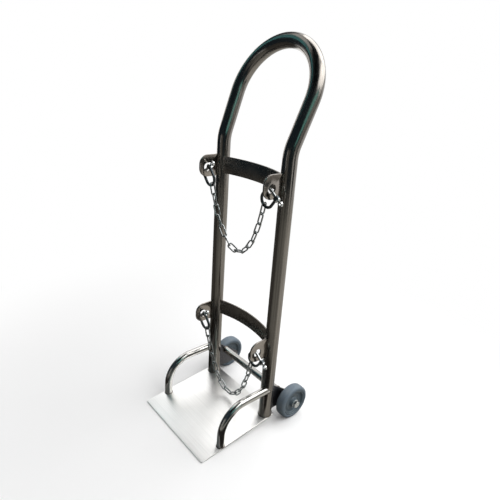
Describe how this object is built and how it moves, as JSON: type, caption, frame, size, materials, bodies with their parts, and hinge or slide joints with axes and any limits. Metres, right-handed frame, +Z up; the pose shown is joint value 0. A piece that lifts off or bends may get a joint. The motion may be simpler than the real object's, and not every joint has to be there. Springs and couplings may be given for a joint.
{
  "type": "gas cylinder cart",
  "caption": "Upright hand cart for a gas cylinder: bent tube frame with looped handle, sloping foot plate, side guards, curved back bands, holding chains on shackles and rear wheels.",
  "frame": {"origin": "on the floor, in the middle of the bounding box seen from above", "axes": "+Z up, +Y to the rear where the wheels and the handle are, +X to the right seen from the front"},
  "size_m": [0.3608, 0.3744, 1.0628],
  "materials": {
    "frame_tube": "polished stainless",
    "foot_plate": "brushed stainless",
    "side_guard": "polished stainless",
    "back_band": "satin stainless",
    "chain_lug": "satin stainless",
    "wheel_bracket": "satin stainless",
    "axle_bolt": "zinc plated",
    "tyre": "matt blue grey rubber",
    "wheel_hub": "grey moulding",
    "shackle_bow": "zinc plated",
    "shackle_pin": "bright zinc plated",
    "chain_link": "zinc plated"
  },
  "bodies": {
    "frame": {"axle_bolt_left": "axle_bolt", "axle_bolt_right": "axle_bolt", "axle_nut_left": "axle_bolt", "axle_nut_right": "axle_bolt", "axle_spacer_left": "axle_bolt", "axle_spacer_right": "axle_bolt", "back_band_lower": "back_band", "back_band_upper": "back_band", "cross_tube": "frame_tube", "foot_plate": "foot_plate", "frame_tube": "frame_tube", "lower_chain_lug_left": "chain_lug", "lower_chain_lug_right": "chain_lug", "side_guard_left": "side_guard", "side_guard_right": "side_guard", "upper_chain_lug_left": "chain_lug", "upper_chain_lug_right": "chain_lug", "wheel_bracket_left": "wheel_bracket", "wheel_bracket_right": "wheel_bracket"},
    "left_wheel": {"tyre_left": "tyre", "wheel_hub_left": "wheel_hub"},
    "right_wheel": {"tyre_right": "tyre", "wheel_hub_right": "wheel_hub"},
    "upper_chain": {"upper_chain_link_01": "chain_link", "upper_chain_link_02": "chain_link", "upper_chain_link_03": "chain_link", "upper_chain_link_04": "chain_link", "upper_chain_link_05": "chain_link", "upper_chain_link_06": "chain_link", "upper_chain_link_07": "chain_link", "upper_chain_link_08": "chain_link", "upper_chain_link_09": "chain_link", "upper_chain_link_10": "chain_link", "upper_chain_link_11": "chain_link", "upper_chain_link_12": "chain_link", "upper_chain_link_13": "chain_link", "upper_chain_link_14": "chain_link", "upper_shackle_bow_left": "shackle_bow", "upper_shackle_bow_right": "shackle_bow", "upper_shackle_pin_left": "shackle_pin", "upper_shackle_pin_right": "shackle_pin"},
    "lower_chain": {"lower_chain_link_01": "chain_link", "lower_chain_link_02": "chain_link", "lower_chain_link_03": "chain_link", "lower_chain_link_04": "chain_link", "lower_chain_link_05": "chain_link", "lower_chain_link_06": "chain_link", "lower_chain_link_07": "chain_link", "lower_chain_link_08": "chain_link", "lower_chain_link_09": "chain_link", "lower_chain_link_10": "chain_link", "lower_chain_link_11": "chain_link", "lower_chain_link_12": "chain_link", "lower_chain_link_13": "chain_link", "lower_chain_link_14": "chain_link", "lower_chain_link_15": "chain_link", "lower_shackle_bow_left": "shackle_bow", "lower_shackle_bow_right": "shackle_bow", "lower_shackle_pin_left": "shackle_pin", "lower_shackle_pin_right": "shackle_pin"}
  },
  "joints": [
    {"name": "left_wheel_spin", "type": "hinge", "parent": "frame", "child": "left_wheel", "pos_m": [-0.1551, 0.13475, 0.0525], "axis": [1, 0, 0], "continuous": true},
    {"name": "right_wheel_spin", "type": "hinge", "parent": "frame", "child": "right_wheel", "pos_m": [0.1551, 0.13475, 0.0525], "axis": [1, 0, 0], "continuous": true},
    {"name": "upper_chain_swing", "type": "hinge", "parent": "frame", "child": "upper_chain", "pos_m": [0, 0.00125, 0.71419], "axis": [-1, 0, 0], "range_deg": [-12, 95]},
    {"name": "lower_chain_swing", "type": "hinge", "parent": "frame", "child": "lower_chain", "pos_m": [0, 0.00125, 0.25819], "axis": [-1, 0, 0], "range_deg": [-12, 95]}
  ]
}
